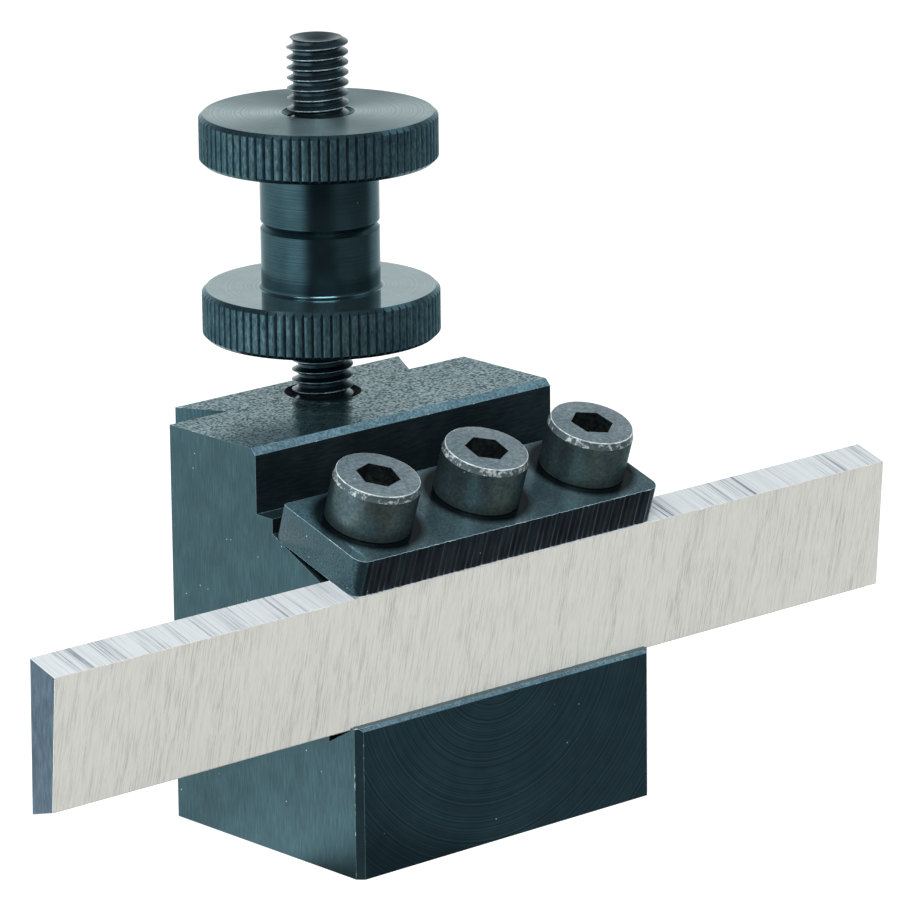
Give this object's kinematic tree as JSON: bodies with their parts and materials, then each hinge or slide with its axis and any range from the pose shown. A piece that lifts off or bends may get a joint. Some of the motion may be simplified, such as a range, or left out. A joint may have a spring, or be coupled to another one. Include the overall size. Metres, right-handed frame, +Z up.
{
  "type": "lathe tool holder",
  "caption": "Dovetail quick-change lathe tool holder with a parting blade under a screwed clamp plate and a height stud with knurled nuts.",
  "frame": {"origin": "middle of the block's underside, level with the middle of the depth between front face and shoulders", "axes": "+X along the blade, +Y towards the tool post (dovetail side), +Z up along the height stud"},
  "size_m": [0.085, 0.0311, 0.0598],
  "materials": {
    "black_oxide_block": "satin black oxide",
    "ground_high_speed_steel": "surface ground",
    "blued_clamp": "blued",
    "black_screw": "phosphated, worn at the rims",
    "black_turned_steel": "turned, black oxide"
  },
  "bodies": {
    "holder": {"holder_block": "black_oxide_block", "height_stud": "black_turned_steel"},
    "blade": {"parting_blade": "ground_high_speed_steel"},
    "clamp": {"clamp_plate": "blued_clamp"},
    "screw_1": {"clamp_screw_1": "black_screw"},
    "screw_2": {"clamp_screw_2": "black_screw"},
    "screw_3": {"clamp_screw_3": "black_screw"},
    "adjusting_nut": {"adjusting_nut": "black_turned_steel"},
    "lock_nut": {"lock_nut": "black_turned_steel"}
  },
  "joints": [
    {"name": "blade_slide", "type": "slide", "parent": "holder", "child": "blade", "axis": [1, 0, 0], "range_m": [-0.025, 0.028]},
    {"name": "clamp_lift", "type": "slide", "parent": "holder", "child": "clamp", "axis": [0, -0.309, 0.9511], "range_m": [0, 0.0021]},
    {"name": "screw_1_turn", "type": "hinge", "parent": "clamp", "child": "screw_1", "pos_m": [-0.0104, -0.00675, 0.02659], "axis": [0, -0.309, 0.9511], "range_deg": [0, 1082]},
    {"name": "screw_2_turn", "type": "hinge", "parent": "clamp", "child": "screw_2", "pos_m": [0.0006, -0.00675, 0.02659], "axis": [0, -0.309, 0.9511], "range_deg": [0, 1082]},
    {"name": "screw_3_turn", "type": "hinge", "parent": "clamp", "child": "screw_3", "pos_m": [0.0116, -0.00675, 0.02659], "axis": [0, -0.309, 0.9511], "range_deg": [0, 1082]},
    {"name": "nut_height", "type": "slide", "parent": "holder", "child": "adjusting_nut", "axis": [0, 0, 1], "range_m": [-0.0045, 0.0036]},
    {"name": "lock_nut_release", "type": "slide", "parent": "adjusting_nut", "child": "lock_nut", "axis": [0, 0, 1], "range_m": [0, 0.002]}
  ],
  "couplings": [
    {"joint": "screw_1_turn", "follows": "clamp_lift", "rad_per_m": 8976},
    {"joint": "screw_2_turn", "follows": "clamp_lift", "rad_per_m": 8976},
    {"joint": "screw_3_turn", "follows": "clamp_lift", "rad_per_m": 8976}
  ]
}
